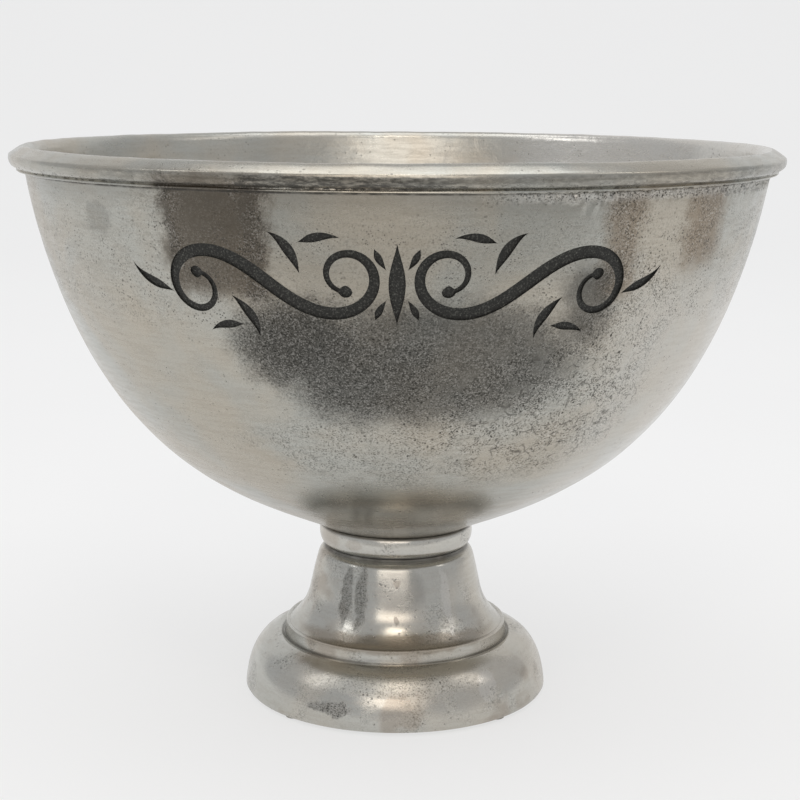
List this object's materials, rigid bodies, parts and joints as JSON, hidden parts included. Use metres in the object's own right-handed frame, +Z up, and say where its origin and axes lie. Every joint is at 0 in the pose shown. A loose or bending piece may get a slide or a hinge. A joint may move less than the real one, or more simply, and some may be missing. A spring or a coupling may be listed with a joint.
{
  "type": "footed champagne bucket",
  "caption": "Deep round polished metal bowl with a thick rolled rim, standing on a collar ring and a hollow bell-shaped foot, held by a bolt from below; a shallow scroll ornament on the front.",
  "frame": {"origin": "on the bucket's axis, on the surface it stands on", "axes": "+Z up along the bucket's axis; the ornament faces -Y; +X to the right of someone who looks at the ornament"},
  "size_m": [0.4, 0.4, 0.2965],
  "materials": {
    "plated_casting": "hand-polished nickel plate over cast aluminium, pitted and lightly tarnished",
    "fixing_steel": "zinc-plated",
    "felt": "pale grey wool felt"
  },
  "bodies": {
    "root": {"bowl": "plated_casting", "collar_ring": "plated_casting", "foot": "plated_casting", "foot_bolt": "fixing_steel", "spring_washer": "fixing_steel", "flat_washer": "fixing_steel", "felt_pad_1": "felt", "felt_pad_2": "felt", "felt_pad_3": "felt", "felt_pad_4": "felt"}
  },
  "joints": []
}
